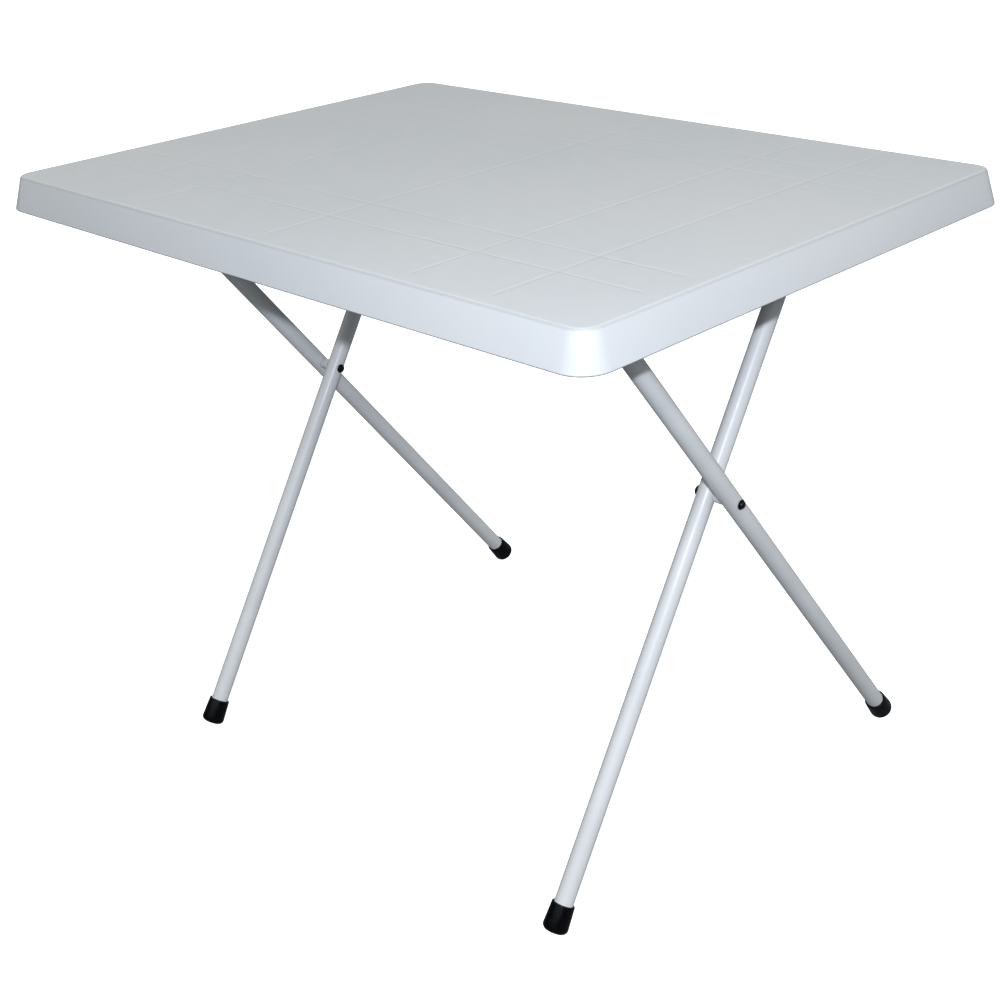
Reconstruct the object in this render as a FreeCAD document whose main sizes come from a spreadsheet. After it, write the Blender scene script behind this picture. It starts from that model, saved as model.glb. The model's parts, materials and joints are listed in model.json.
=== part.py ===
import FreeCAD, Part
import os
import Sketcher

# Folding table: a moulded top on two crossed U frames of round tube.
# The outer frame's crossbar turns in straps under the top. The inner frame's crossbar sits in a
# notched rack on each side. Both frames turn on a rivet where their legs cross.
# X runs along the long edge, the outer frame's feet point to +Y, the floor is Z = 0.

# Driving dimensions in millimetres, and in degrees where the name ends in lean.
SIZES = {
    # top
    "length": 800,
    "width": 600,
    "height": 650,
    "apron": 34,
    "flare": 10,
    "corner": 28,
    "edge_round": 3,
    "apron_wall": 3,
    "deck": 3.5,
    "rib_depth": 10,
    "rib_thickness": 2.5,
    "rib_pitch": 100,
    # shallow lines on the top
    "groove_width": 2.6,
    "groove_depth": 0.3,
    "groove_margin": 24,
    "panel_length": 376,
    "panel_width": 292,
    "band_length": 91,
    "band_width": 51,
    # frames
    "tube": 19,
    "tube_wall": 1.2,
    "bend": 45,
    "frame_spread": 602,
    "pivot_height": 378,
    "pivot_shift": 10,
    "outer_lean": 38.2,
    "inner_lean": 31.5,
    # foot caps
    "cap_length": 28,
    "cap_base": 6,
    "cap_wall": 2,
    "cap_flare": 1.5,
    "cap_round": 5,
    "cap_lip": 0.8,
    "foot_flat": 1,
    # pivots
    "rivet": 6,
    "head_rim": 0.8,
    "head_dome": 2.6,
    "dome_round": 2.1,
    "tail_dome": 1.4,
    "tail_round": 1,
    "washer_rim": 2,
    "washer_thickness": 1,
    "spacer_wall": 3,
    "spacer_length": 10.7,
    "running": 0.05,
    "play": 0.3,
    # straps, racks and their screws
    "fitting_spread": 340,
    "strap_width": 22,
    "strap_thickness": 3,
    "flange": 15,
    "rack_width": 14,
    "rack_web": 9.7,
    "notch_lean": 38,
    "tooth": 6,
    "tooth_tip": 5,
    "screw": 4,
    "screw_gap": 0.5,
    "screw_rim": 2,
    "screw_head": 2.4,
    "recess_long": 4.4,
    "recess_wide": 1.1,
    "recess_deep": 1.2,
    "screw_play": 0.2,
    "boss_wall": 3,
}

doc = FreeCAD.newDocument("FoldingTable")
sheet = doc.addObject("Spreadsheet::Sheet", "Sizes")
for row, (name, number) in enumerate(SIZES.items(), start=1):
    sheet.set(f"A{row}", name)
    sheet.set(f"B{row}", str(number))
    sheet.setAlias(f"B{row}", name)
doc.recompute()


def calc(expression):
    """The number that an expression on the sheet gives now."""
    return float(sheet.evalExpression(str(expression)))


# Lengths and places that follow from the driving dimensions.
TUBE_RADIUS = "Sizes.tube / 2"
RIB_PLANE = "(Sizes.height - Sizes.deck - Sizes.rib_depth)"
HINGE_HEIGHT = f"({RIB_PLANE} - Sizes.play - {TUBE_RADIUS})"
CATCH_HEIGHT = f"({HINGE_HEIGHT} - Sizes.rack_web)"
HINGE_Y = f"(Sizes.pivot_shift - ({HINGE_HEIGHT} - Sizes.pivot_height) * tan(Sizes.outer_lean))"
CATCH_Y = f"(Sizes.pivot_shift + ({CATCH_HEIGHT} - Sizes.pivot_height) * tan(Sizes.inner_lean))"
OUTER_X = "(Sizes.frame_spread / 2)"
INNER_X = f"({OUTER_X} - Sizes.tube - Sizes.spacer_length - Sizes.play)"
FITTING_X = "(Sizes.fitting_spread / 2)"
DRAFT = "atan(Sizes.flare / Sizes.apron)"
CLEAR_RADIUS = f"({TUBE_RADIUS} + Sizes.play)"
STRAP_RADIUS = f"({CLEAR_RADIUS} + Sizes.strap_thickness)"
STRAP_SCREW_Y = f"({STRAP_RADIUS} + Sizes.flange / 2)"
RACK_TOP = f"(Sizes.rack_web + {CLEAR_RADIUS})"
MOUTH = f"({CLEAR_RADIUS} / cos(Sizes.notch_lean) + Sizes.tooth * tan(Sizes.notch_lean))"
NOTCH_PITCH = f"({MOUTH} + {CLEAR_RADIUS} + Sizes.tooth_tip)"
RACK_BACK = f"({NOTCH_PITCH} + {MOUTH} + Sizes.tooth_tip)"
RACK_FRONT = f"({NOTCH_PITCH} + {CLEAR_RADIUS} + Sizes.tooth_tip)"
CAP_NECK = f"({TUBE_RADIUS} + Sizes.cap_wall)"
CAP_RADIUS = f"({CAP_NECK} + Sizes.cap_flare)"
RIVET_RADIUS = "(Sizes.rivet / 2)"
SCREW_RADIUS = "(Sizes.screw / 2)"

# Two heights this near each other are the same.
CLOSE = 0.01
# A tool that cuts right through is this many times as long as what it cuts.
THROUGH = 2


def foot_height(lean):
    """Height of the middle of a cap's end, set so that its lowest edge is cut flat at the floor."""
    edge = f"Sizes.cap_round * (1 - cos({lean}))"
    return f"({edge} + ({CAP_RADIUS} - Sizes.cap_round) * sin({lean}) - Sizes.foot_flat)"


def lower_length(lean):
    """From the rivet down the leg to the cap's end."""
    return f"((Sizes.pivot_height - {foot_height(lean)}) / cos({lean}))"


def upper_length(crossbar_height, lean):
    """From the rivet up the leg to the crossbar's axis."""
    return f"(({crossbar_height} - Sizes.pivot_height) / cos({lean}))"


def vector(x, y, z):
    return FreeCAD.Vector(calc(x), calc(y), calc(z))


def put(piece, x, y, z, turn=0):
    """Place a piece, turned about X by a number of degrees."""
    rotation = FreeCAD.Rotation(FreeCAD.Vector(1, 0, 0), calc(turn))
    piece.Placement = FreeCAD.Placement(vector(x, y, z), rotation)
    return piece


def bind(thing, **sizes):
    for name, expression in sizes.items():
        thing.setExpression(name, str(expression))
    return thing


# PartDesign helpers

def new_body(label):
    piece = doc.addObject("PartDesign::Body", label)
    piece.Label = label
    return piece


def new_sketch(piece, plane, name, offset="0"):
    """A sketch on one of the body's own planes, moved along the plane's normal."""
    support = next(each for each in piece.Origin.OriginFeatures if each.Role == plane)
    sketch = piece.newObject("Sketcher::SketchObject", name)
    sketch.AttachmentSupport = (support, [""])
    sketch.MapMode = "FlatFace"
    sketch.setExpression("AttachmentOffset.Base.z", str(offset))
    doc.recompute()
    return sketch


def pin(sketch, geometry, end, x, y):
    """Hold one end of a line or arc at a place that the sheet gives."""
    for kind, expression in (("DistanceX", x), ("DistanceY", y)):
        index = sketch.addConstraint(
            Sketcher.Constraint(kind, -1, 1, geometry, end, calc(expression)))
        sketch.setExpression(f"Constraints[{index}]", str(expression))


def draw_outline(sketch, corners):
    """A closed outline of straight lines through corners given as pairs of expressions."""
    points = [vector(x, y, 0) for x, y in corners]
    first = sketch.GeometryCount
    for start, end in zip(points, points[1:] + points[:1]):
        sketch.addGeometry(Part.LineSegment(start, end), False)
    for index, (x, y) in enumerate(corners):
        before = first + (index - 1) % len(corners)
        sketch.addConstraint(Sketcher.Constraint("Coincident", before, 2, first + index, 1))
        pin(sketch, first + index, 1, x, y)


def draw_rectangle(sketch, half_x, half_y, middle_x="0", middle_y="0"):
    left, right = f"{middle_x} - {half_x}", f"{middle_x} + {half_x}"
    low, high = f"{middle_y} - {half_y}", f"{middle_y} + {half_y}"
    draw_outline(sketch, [(left, low), (right, low), (right, high), (left, high)])


def draw_circle(sketch, x, y, radius):
    circle = Part.Circle(vector(x, y, 0), FreeCAD.Vector(0, 0, 1), calc(radius))
    index = sketch.addGeometry(circle, False)
    pin(sketch, index, 3, x, y)
    size = sketch.addConstraint(Sketcher.Constraint("Radius", index, calc(radius)))
    sketch.setExpression(f"Constraints[{size}]", str(radius))


def draw_arc(sketch, x, y, radius, start, sweep):
    """An arc of a circle about a held centre, from a start angle in degrees."""
    circle = Part.Circle(vector(x, y, 0), FreeCAD.Vector(0, 0, 1), calc(radius))
    first = FreeCAD.Units.Quantity(f"{start} deg").getValueAs("rad").Value
    last = FreeCAD.Units.Quantity(f"{start + sweep} deg").getValueAs("rad").Value
    index = sketch.addGeometry(Part.ArcOfCircle(circle, first, last), False)
    pin(sketch, index, 3, x, y)
    return index


def draw_rounded_rectangle(sketch, half_x, half_y, radius):
    """Four tangent arcs joined by four lines, counterclockwise from the +X, +Y corner."""
    across, along = f"({half_x} - {radius})", f"({half_y} - {radius})"
    centres = [(across, along), (f"-{across}", along),
               (f"-{across}", f"-{along}"), (across, f"-{along}")]
    arcs = [draw_arc(sketch, x, y, radius, 90 * quarter, 90)
            for quarter, (x, y) in enumerate(centres)]
    size = sketch.addConstraint(Sketcher.Constraint("Radius", arcs[0], calc(radius)))
    sketch.setExpression(f"Constraints[{size}]", str(radius))
    for arc, following in zip(arcs, arcs[1:] + arcs[:1]):
        start = sketch.getPoint(arc, 2)
        end = sketch.getPoint(following, 1)
        line = sketch.addGeometry(Part.LineSegment(start, end), False)
        sketch.addConstraint(Sketcher.Constraint("Tangent", arc, 2, line, 1))
        sketch.addConstraint(Sketcher.Constraint("Tangent", line, 2, following, 1))


def pad(piece, sketch, name, length, **settings):
    return grow(piece, "PartDesign::Pad", sketch, name, length, settings)


def pocket(piece, sketch, name, length, **settings):
    return grow(piece, "PartDesign::Pocket", sketch, name, length, settings)


def grow(piece, kind, sketch, name, length, settings):
    feature = piece.newObject(kind, name)
    feature.Profile = sketch
    feature.setExpression("Length", str(length))
    for setting, value in settings.items():
        if setting == "TaperAngle":
            feature.setExpression(setting, value)
        else:
            setattr(feature, setting, value)
    sketch.Visibility = False
    doc.recompute()
    return feature


def revolve(piece, sketch, name):
    feature = piece.newObject("PartDesign::Revolution", name)
    feature.Profile = sketch
    feature.ReferenceAxis = (sketch, ["V_Axis"])
    feature.Angle = 360
    doc.recompute()
    return feature


def repeat(piece, feature, name, plane_axis, sketch, pitch, count):
    """Copies of a feature both ways from the middle, at equal steps along a sketch axis."""
    pattern = piece.newObject("PartDesign::LinearPattern", name)
    pattern.Originals = [feature]
    pattern.Direction = (sketch, [plane_axis])
    pattern.Mode = "Spacing"
    bind(pattern, Offset=pitch, Occurrences=count)
    piece.Tip = pattern
    doc.recompute()
    return pattern


def round_edges(piece, base, name, radius, wanted):
    """Fillet the edges of a feature for which wanted(edge) is true."""
    edges = [f"Edge{number}" for number, edge in enumerate(base.Shape.Edges, start=1) if wanted(edge)]
    feature = piece.newObject("PartDesign::Fillet", name)
    feature.Base = (base, edges)
    feature.setExpression("Radius", str(radius))
    doc.recompute()
    return feature


def lies_at(height):
    """Test for edges that lie flat at one local height."""
    level = calc(height)

    def wanted(edge):
        box = edge.BoundBox
        return abs(box.ZMin - level) < CLOSE and abs(box.ZMax - level) < CLOSE
    return wanted


# Part primitive helpers

def make_box(name, length, width, height, x, y, z):
    """A box centred on x and y, standing on z."""
    piece = bind(doc.addObject("Part::Box", name), Length=length, Width=width, Height=height)
    return put(piece, f"{x} - {length} / 2", f"{y} - {width} / 2", z)


def make_cylinder(name, radius, length, x, y, z, along_x=False):
    """A cylinder standing on z, or lying along X and centred on x."""
    piece = bind(doc.addObject("Part::Cylinder", name), Radius=radius, Height=length)
    put(piece, x, y, z)
    if along_x:
        turn = FreeCAD.Rotation(FreeCAD.Vector(0, 1, 0), 90)
        piece.Placement = FreeCAD.Placement(vector(f"{x} - {length} / 2", y, z), turn)
    return piece


def join(name, pieces):
    whole = doc.addObject("Part::MultiFuse", name)
    whole.Shapes = pieces
    return whole


def cut(name, base, tool):
    result = doc.addObject("Part::Cut", name)
    result.Base = base
    result.Tool = tool
    return result


# The pieces

def make_top():
    """One moulding: a drafted shell with ribs, screw bosses and shallow lines on the deck."""
    top = new_body("table_top")
    under_deck = "-Sizes.deck"
    rim = new_sketch(top, "XY_Plane", "Rim", "-Sizes.apron")
    draw_rounded_rectangle(rim, "Sizes.length / 2", "Sizes.width / 2", "Sizes.corner")
    block = pad(top, rim, "Block", "Sizes.apron", TaperAngle=f"-{DRAFT}")
    round_edges(top, block, "EdgeRound", "Sizes.edge_round", lies_at(0))

    inside = new_sketch(top, "XY_Plane", "Inside", "-Sizes.apron")
    draw_rounded_rectangle(inside, "(Sizes.length / 2 - Sizes.apron_wall)",
                           "(Sizes.width / 2 - Sizes.apron_wall)",
                           "(Sizes.corner - Sizes.apron_wall)")
    pocket(top, inside, "Hollow", "Sizes.apron - Sizes.deck", Reversed=True, TaperAngle=f"-{DRAFT}")

    for name, plane, half, other in (("Lengthwise", "XZ_Plane", "Sizes.length / 2", "Sizes.width"),
                                     ("Crosswise", "YZ_Plane", "Sizes.width / 2", "Sizes.length")):
        slope = "Sizes.flare / Sizes.apron"
        middle = f"{half} - Sizes.apron_wall / 2"
        at_deck = f"({middle} - {slope} * (Sizes.apron - Sizes.deck))"
        at_edge = f"({middle} - {slope} * (Sizes.apron - Sizes.deck - Sizes.rib_depth))"
        edge = f"{under_deck} - Sizes.rib_depth"
        side = new_sketch(top, plane, f"{name}Side")
        draw_outline(side, [(f"-{at_deck}", under_deck), (at_deck, under_deck),
                            (at_edge, edge), (f"-{at_edge}", edge)])
        rib = pad(top, side, f"{name}Rib", "Sizes.rib_thickness", Midplane=True)
        steps = f"floor(({other} / 2 - Sizes.corner) / Sizes.rib_pitch)"
        for way, reverse in (("Near", False), ("Far", True)):
            pattern = repeat(top, rib, f"{name}Ribs{way}", "N_Axis", side, "Sizes.rib_pitch",
                             f"{steps} + 1")
            pattern.Reversed = reverse
        doc.recompute()

    screw_places = [(x, f"{y} {sign} {reach}")
                    for x in (f"-{FITTING_X}", FITTING_X)
                    for y, sign, reach in ((HINGE_Y, "-", STRAP_SCREW_Y),
                                           (HINGE_Y, "+", STRAP_SCREW_Y),
                                           (CATCH_Y, "-", f"({RACK_BACK} + Sizes.flange / 2)"),
                                           (CATCH_Y, "+", f"({RACK_FRONT} + Sizes.flange / 2)"))]
    for name, radius in (("Boss", f"{SCREW_RADIUS} + Sizes.boss_wall"), ("Pilot", SCREW_RADIUS)):
        sketch = new_sketch(top, "XY_Plane", f"{name}Circles", under_deck)
        for x, y in screw_places:
            draw_circle(sketch, x, y, radius)
        if name == "Boss":
            pad(top, sketch, "Bosses", "Sizes.rib_depth", Reversed=True)
        else:
            pocket(top, sketch, "Pilots", "Sizes.rib_depth")

    half_line = "Sizes.groove_width / 2"
    panel_x, panel_y = "Sizes.panel_length / 2", "Sizes.panel_width / 2"
    lengthwise = new_sketch(top, "XY_Plane", "LengthwiseLines")
    for sign in ("-", "+"):
        for reach in (panel_y, f"({panel_y} + Sizes.band_width)"):
            draw_rectangle(lengthwise, "(Sizes.length / 2 - Sizes.groove_margin)", half_line,
                           middle_y=f"0 {sign} {reach}")
    pocket(top, lengthwise, "LengthwiseGrooves", "Sizes.groove_depth")
    crosswise = new_sketch(top, "XY_Plane", "CrosswiseLines")
    for place in ("0", f"0 - {panel_x}", f"0 + {panel_x}",
                  f"0 - ({panel_x} + Sizes.band_length)", f"0 + ({panel_x} + Sizes.band_length)"):
        draw_rectangle(crosswise, half_line, "(Sizes.width / 2 - Sizes.groove_margin)",
                       middle_x=place)
    pocket(top, crosswise, "CrosswiseGrooves", "Sizes.groove_depth")
    return put(top, "0", "0", "Sizes.height")


def make_frame(label, half_spread, lower, upper, rivet_hole, turn):
    """A tube bent to a U, drawn flat about the rivet's axis with its crossbar at +Y."""
    frame = new_body(label)
    foot = f"({lower} - Sizes.cap_base)"
    path = new_sketch(frame, "XY_Plane", f"{label}_path")
    side, bar = f"({half_spread} - Sizes.bend)", f"({upper} - Sizes.bend)"
    left_arc = draw_arc(path, f"-{side}", bar, "Sizes.bend", 90, 90)
    right_arc = draw_arc(path, side, bar, "Sizes.bend", 0, 90)
    for arc in (left_arc, right_arc):
        size = path.addConstraint(Sketcher.Constraint("Radius", arc, calc("Sizes.bend")))
        path.setExpression(f"Constraints[{size}]", "Sizes.bend")
    left_foot = vector(f"-{half_spread}", f"-{foot}", 0)
    right_foot = vector(half_spread, f"-{foot}", 0)
    left = path.addGeometry(Part.LineSegment(left_foot, path.getPoint(left_arc, 2)), False)
    right = path.addGeometry(Part.LineSegment(path.getPoint(right_arc, 1), right_foot), False)
    bar_line = Part.LineSegment(path.getPoint(left_arc, 1), path.getPoint(right_arc, 2))
    crossbar = path.addGeometry(bar_line, False)
    for first, first_end, second, second_end in ((left, 2, left_arc, 2), (left_arc, 1, crossbar, 1),
                                                 (crossbar, 2, right_arc, 2), (right_arc, 1, right, 1)):
        path.addConstraint(Sketcher.Constraint("Tangent", first, first_end, second, second_end))
    for leg, end in ((left, 1), (right, 2)):
        index = path.addConstraint(
            Sketcher.Constraint("DistanceY", -1, 1, leg, end, -calc(foot)))
        path.setExpression(f"Constraints[{index}]", f"-{foot}")

    ring = new_sketch(frame, "XZ_Plane", f"{label}_ring", foot)
    draw_circle(ring, f"-{half_spread}", "0", TUBE_RADIUS)
    draw_circle(ring, f"-{half_spread}", "0", f"{TUBE_RADIUS} - Sizes.tube_wall")
    tube = frame.newObject("PartDesign::AdditivePipe", f"{label}_tube")
    tube.Profile = ring
    tube.Spine = (path, [f"Edge{number}" for number in range(1, 6)])
    doc.recompute()

    hole = new_sketch(frame, "YZ_Plane", f"{label}_hole")
    draw_circle(hole, "0", "0", rivet_hole)
    pocket(frame, hole, f"{label}_holes", f"{THROUGH} * Sizes.frame_spread", Midplane=True)
    return put(frame, "0", "Sizes.pivot_shift", "Sizes.pivot_height", turn)


def make_cap(label, x, lean, way):
    """A flared cup on a leg's end, with its lowest edge cut flat at the floor."""
    cap = new_body(f"{label}_cup")
    profile = new_sketch(cap, "XZ_Plane", f"{label}_profile")
    draw_outline(profile, [("0", "0"), (CAP_RADIUS, "0"), (CAP_NECK, "Sizes.cap_length"),
                           (TUBE_RADIUS, "Sizes.cap_length"), (TUBE_RADIUS, "Sizes.cap_base"),
                           ("0", "Sizes.cap_base")])
    cup = revolve(cap, profile, f"{label}_turned")
    cup = round_edges(cap, cup, f"{label}_round", "Sizes.cap_round", lies_at("0"))

    def outer_lip(edge):
        box = edge.BoundBox
        return lies_at("Sizes.cap_length")(edge) and box.XMax > calc(CAP_NECK) - CLOSE
    round_edges(cap, cup, f"{label}_lip", "Sizes.cap_lip", outer_lip)
    reach = f"{way} * (Sizes.pivot_height - {foot_height(lean)}) * tan({lean})"
    place_y = f"Sizes.pivot_shift + {reach}"
    put(cap, x, place_y, foot_height(lean), f"{way} * {lean}")
    size = f"({THROUGH} * Sizes.cap_length)"
    floor = make_box(f"{label}_floor", size, size, size, x, place_y, f"-({size})")
    foot = cut(label, cap, floor)
    foot.Label = label
    return foot


def make_rivet(label, side):
    """A rivet through both tubes, the spacer and two washers: a domed head outside, a flat tail inside."""
    rivet = new_body(label)
    outer_end = f"({OUTER_X} + {TUBE_RADIUS} + Sizes.washer_thickness)"
    inner_end = f"({INNER_X} - {CLEAR_RADIUS} - Sizes.washer_thickness)"
    length = f"({outer_end} - {inner_end})"
    head = f"{RIVET_RADIUS} + Sizes.head_rim"
    bottom, top = "-Sizes.tail_dome", f"{length} + Sizes.head_dome"
    profile = new_sketch(rivet, "XZ_Plane", f"{label}_profile")
    draw_outline(profile, [("0", bottom), (head, bottom), (head, "0"), (RIVET_RADIUS, "0"),
                           (RIVET_RADIUS, length), (head, length), (head, top), ("0", top)])
    turned = revolve(rivet, profile, f"{label}_turned")
    tail = round_edges(rivet, turned, f"{label}_tail", "Sizes.tail_round", lies_at(bottom))
    round_edges(rivet, tail, f"{label}_head", "Sizes.dome_round", lies_at(top))
    turn = FreeCAD.Rotation(FreeCAD.Vector(0, 1, 0), 90 * side)
    start = vector(f"{side} * {inner_end}", "Sizes.pivot_shift", "Sizes.pivot_height")
    rivet.Placement = FreeCAD.Placement(start, turn)
    return rivet


def make_ring(label, wall, length, x):
    """A plain ring on a rivet's shank, centred on x."""
    place = ("Sizes.pivot_shift", "Sizes.pivot_height")
    solid = make_cylinder(f"{label}_disc", f"{RIVET_RADIUS} + {wall}", length, x, *place, along_x=True)
    bore = make_cylinder(f"{label}_bore", RIVET_RADIUS, length, x, *place, along_x=True)
    ring = cut(label, solid, bore)
    ring.Label = label
    return ring


def make_screw_holes(name, top, places):
    """Cylinders that cut a flange right through; top is the flange's upper face."""
    radius = f"({SCREW_RADIUS} + Sizes.screw_play)"
    length = f"({THROUGH} * Sizes.strap_thickness)"
    return [make_cylinder(f"{name}_hole_{number}", radius, length, "0", y, f"{top} - {length}")
            for number, y in enumerate(places)]


def make_strap(label, x):
    """A saddle that holds the outer crossbar up against the ribs, drawn about the tube's axis."""
    wide = "Sizes.strap_width"
    block = make_box(f"{label}_block", wide, f"(2 * {STRAP_RADIUS})", CLEAR_RADIUS, "0", "0", "0")
    saddle = make_cylinder(f"{label}_saddle", STRAP_RADIUS, wide, "0", "0", "0", along_x=True)
    flanges = make_box(f"{label}_flanges", wide, f"(2 * ({STRAP_RADIUS} + Sizes.flange))",
                       "Sizes.strap_thickness", "0", "0", f"{CLEAR_RADIUS} - Sizes.strap_thickness")
    longer = f"({THROUGH} * {wide})"
    seat = make_cylinder(f"{label}_seat", CLEAR_RADIUS, longer, "0", "0", "0", along_x=True)
    throat = make_box(f"{label}_throat", longer, f"(2 * {CLEAR_RADIUS})", f"(2 * {CLEAR_RADIUS})",
                      "0", "0", "0")
    holes = make_screw_holes(label, CLEAR_RADIUS, [f"-{STRAP_SCREW_Y}", STRAP_SCREW_Y])
    solid = join(f"{label}_solid", [block, saddle, flanges])
    strap = cut(label, solid, join(f"{label}_space", [seat, throat] + holes))
    strap.Label = label
    return put(strap, x, HINGE_Y, HINGE_HEIGHT)


def make_notch(name, y):
    """The space for a crossbar: round at the top, with its -Y side leaning out of the bar's way."""
    longer = f"({THROUGH} * Sizes.rack_width)"
    seat = make_cylinder(f"{name}_seat", CLEAR_RADIUS, longer, "0", y, "0", along_x=True)
    deep = f"({THROUGH} * Sizes.tooth)"
    touch_y = f"({y} - {CLEAR_RADIUS} * cos(Sizes.notch_lean))"
    touch_z = f"({CLEAR_RADIUS} * sin(Sizes.notch_lean))"
    far_y = f"({touch_y} - ({touch_z} + {deep}) * tan(Sizes.notch_lean))"
    outline = doc.addObject("Sketcher::SketchObject", f"{name}_outline")
    outline.Placement = FreeCAD.Placement(FreeCAD.Vector(), FreeCAD.Rotation(0.5, 0.5, 0.5, 0.5))
    draw_outline(outline, [(y, "0"), (touch_y, touch_z), (far_y, f"-{deep}"),
                           (f"{y} + {CLEAR_RADIUS}", f"-{deep}"), (f"{y} + {CLEAR_RADIUS}", "0")])
    mouth = doc.addObject("Part::Extrusion", f"{name}_mouth")
    mouth.Base = outline
    mouth.DirMode = "Custom"
    mouth.Dir = FreeCAD.Vector(1, 0, 0)
    mouth.Solid = True
    mouth.Symmetric = True
    bind(mouth, LengthFwd=longer)
    return [seat, mouth]


def make_rack(label, x):
    """A comb with three places for the inner crossbar, drawn about the middle one's axis."""
    wide = "Sizes.rack_width"
    middle = f"(({RACK_FRONT} - {RACK_BACK}) / 2)"
    comb_length = f"({RACK_FRONT} + {RACK_BACK})"
    comb = make_box(f"{label}_comb", wide, comb_length, f"({RACK_TOP} + Sizes.tooth)",
                    "0", middle, "-Sizes.tooth")
    tabs = make_box(f"{label}_tabs", wide, f"({comb_length} + 2 * Sizes.flange)",
                    "Sizes.strap_thickness", "0", middle, f"{RACK_TOP} - Sizes.strap_thickness")
    spaces = []
    for number, y in enumerate((f"-{NOTCH_PITCH}", "0", NOTCH_PITCH)):
        spaces += make_notch(f"{label}_notch_{number}", y)
    spaces += make_screw_holes(label, RACK_TOP, [f"-({RACK_BACK} + Sizes.flange / 2)",
                                                 f"{RACK_FRONT} + Sizes.flange / 2"])
    rack = cut(label, join(f"{label}_solid", [comb, tabs]), join(f"{label}_space", spaces))
    rack.Label = label
    return put(rack, x, CATCH_Y, CATCH_HEIGHT)


def make_screw(name, x, y, seat_height):
    """A pan head screw pointing up, its head's flat on the flange at seat_height."""
    head = make_cylinder(f"{name}_head", f"{SCREW_RADIUS} + Sizes.screw_rim", "Sizes.screw_head",
                         "0", "0", "-Sizes.screw_head")
    length = "Sizes.strap_thickness + Sizes.rib_depth - Sizes.screw_gap"
    shank = make_cylinder(f"{name}_shank", SCREW_RADIUS, length, "0", "0", "0")
    arms = (("Sizes.recess_long", "Sizes.recess_wide"), ("Sizes.recess_wide", "Sizes.recess_long"))
    recess = [make_box(f"{name}_recess_{number}", along, across, "Sizes.recess_deep", "0", "0",
                       "-Sizes.screw_head")
              for number, (along, across) in enumerate(arms)]
    screw = cut(name, join(f"{name}_solid", [head, shank]), join(f"{name}_cross", recess))
    return put(screw, x, y, seat_height)


def make_screws(label, x, places, seat_height):
    pair = doc.addObject("Part::Compound", label)
    pair.Label = label
    pair.Links = [make_screw(f"{label}_{number}", x, y, seat_height)
                  for number, y in enumerate(places)]
    return pair


pieces = [make_top()]
pieces.append(make_frame("outer_frame_tube", OUTER_X, lower_length("Sizes.outer_lean"),
                         upper_length(HINGE_HEIGHT, "Sizes.outer_lean"),
                         RIVET_RADIUS, "90 + Sizes.outer_lean"))
pieces.append(make_frame("inner_frame_tube", INNER_X, lower_length("Sizes.inner_lean"),
                         upper_length(CATCH_HEIGHT, "Sizes.inner_lean"),
                         f"{RIVET_RADIUS} + Sizes.running", "90 - Sizes.inner_lean"))
flange_seat = f"{RIB_PLANE} - Sizes.strap_thickness"
washer_half = "Sizes.washer_thickness / 2"
for side_name, side in (("left", -1), ("right", 1)):
    pieces.append(make_cap(f"outer_foot_{side_name}", f"{side} * {OUTER_X}", "Sizes.outer_lean", 1))
    pieces.append(make_cap(f"inner_foot_{side_name}", f"{side} * {INNER_X}", "Sizes.inner_lean", -1))
    pieces.append(make_rivet(f"rivet_{side_name}", side))
    pieces.append(make_ring(f"spacer_{side_name}", "Sizes.spacer_wall", "Sizes.spacer_length",
                            f"{side} * ({OUTER_X} - {TUBE_RADIUS} - Sizes.spacer_length / 2)"))
    pieces.append(make_ring(f"outer_washer_{side_name}", "Sizes.washer_rim", "Sizes.washer_thickness",
                            f"{side} * ({OUTER_X} + {TUBE_RADIUS} + {washer_half})"))
    pieces.append(make_ring(f"inner_washer_{side_name}", "Sizes.washer_rim", "Sizes.washer_thickness",
                            f"{side} * ({INNER_X} - {CLEAR_RADIUS} - {washer_half})"))
    fitting_x = f"{side} * {FITTING_X}"
    pieces.append(make_strap(f"hinge_strap_{side_name}", fitting_x))
    pieces.append(make_rack(f"notch_rack_{side_name}", fitting_x))
    pieces.append(make_screws(f"strap_screws_{side_name}", fitting_x,
                              [f"{HINGE_Y} - {STRAP_SCREW_Y}", f"{HINGE_Y} + {STRAP_SCREW_Y}"],
                              flange_seat))
    pieces.append(make_screws(f"rack_screws_{side_name}", fitting_x,
                              [f"{CATCH_Y} - ({RACK_BACK} + Sizes.flange / 2)",
                               f"{CATCH_Y} + ({RACK_FRONT} + Sizes.flange / 2)"],
                              flange_seat))
doc.recompute()


def exact_bounds(piece):
    return piece.Shape.optimalBoundingBox(False, False)


# The origin is on the floor, in the middle of the table's outline.
outline = FreeCAD.BoundBox()
for piece in pieces:
    outline.add(exact_bounds(piece))
to_middle = FreeCAD.Placement(FreeCAD.Vector(0, -outline.Center.y, 0), FreeCAD.Rotation())
for piece in pieces:
    piece.Placement = to_middle * piece.Placement
doc.recompute()

for each in doc.Objects:
    if "Invalid" in each.State or "Error" in each.State:
        raise RuntimeError(f"{each.Label} failed: {each.State}")
for piece in pieces:
    if piece.Shape.isNull() or not piece.Shape.isValid():
        raise RuntimeError(f"{piece.Label} has no valid shape")

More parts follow.
